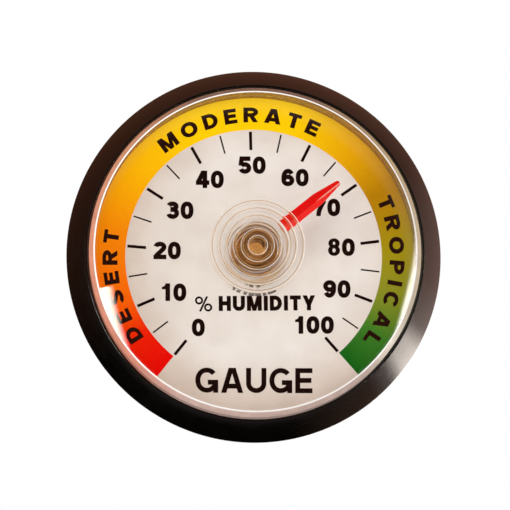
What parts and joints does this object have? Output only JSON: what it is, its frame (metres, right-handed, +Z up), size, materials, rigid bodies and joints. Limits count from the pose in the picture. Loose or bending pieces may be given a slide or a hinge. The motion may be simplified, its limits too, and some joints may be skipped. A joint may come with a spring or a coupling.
{
  "type": "dial hygrometer",
  "caption": "Round stick-on dial hygrometer: black clipped bezel, domed clear lens, printed humidity scale, spiral coil and red pointer on an adjustable post.",
  "frame": {"origin": "centre of the fastener's wall face, on the dial's axis, where the gauge meets the wall", "axes": "+Y into the wall, so the dial faces -Y; +Z up the dial; +X to the reader's right"},
  "size_m": [0.05, 0.018, 0.05],
  "materials": {
    "bezel_plastic": "polished black ABS with fine handling scratches",
    "case_plastic": "fine spark-eroded black ABS",
    "lens_plastic": "clear polished polystyrene or acrylic",
    "dial_print": "warm white plate with printed scale and coloured zone band",
    "brass": "turned brass",
    "spring_steel": "plain spring steel",
    "coil_strip": "bronze strip with an amber moisture-sensitive film",
    "pointer_plastic": "glossy moulded red",
    "fastener_fabric": "black hook-and-loop",
    "adhesive": "thin pressure-sensitive film"
  },
  "bodies": {
    "case": {"wall_adhesive": "adhesive", "loop_disc": "fastener_fabric", "hook_disc": "fastener_fabric", "hook_adhesive": "adhesive", "case_back": "case_plastic", "bezel_ring": "bezel_plastic", "lens": "lens_plastic", "dial_plate": "dial_print", "post_bush": "brass", "friction_washer": "spring_steel"},
    "adjuster": {"coil_post": "brass", "coil_collet": "brass", "coil_pin": "spring_steel", "humidity_coil": "coil_strip"},
    "needle": {"pointer": "pointer_plastic"}
  },
  "joints": [
    {"name": "calibration_turn", "type": "hinge", "parent": "case", "child": "adjuster", "pos_m": [0, 0, 0], "axis": [0, 1, 0], "range_deg": [-20, 20]},
    {"name": "humidity_reading", "type": "hinge", "parent": "adjuster", "child": "needle", "pos_m": [0, 0, 0], "axis": [0, 1, 0], "range_deg": [-192.6, 87.4], "stiffness_Nm_per_rad": 0.0001, "deforming": ["humidity_coil"]}
  ]
}
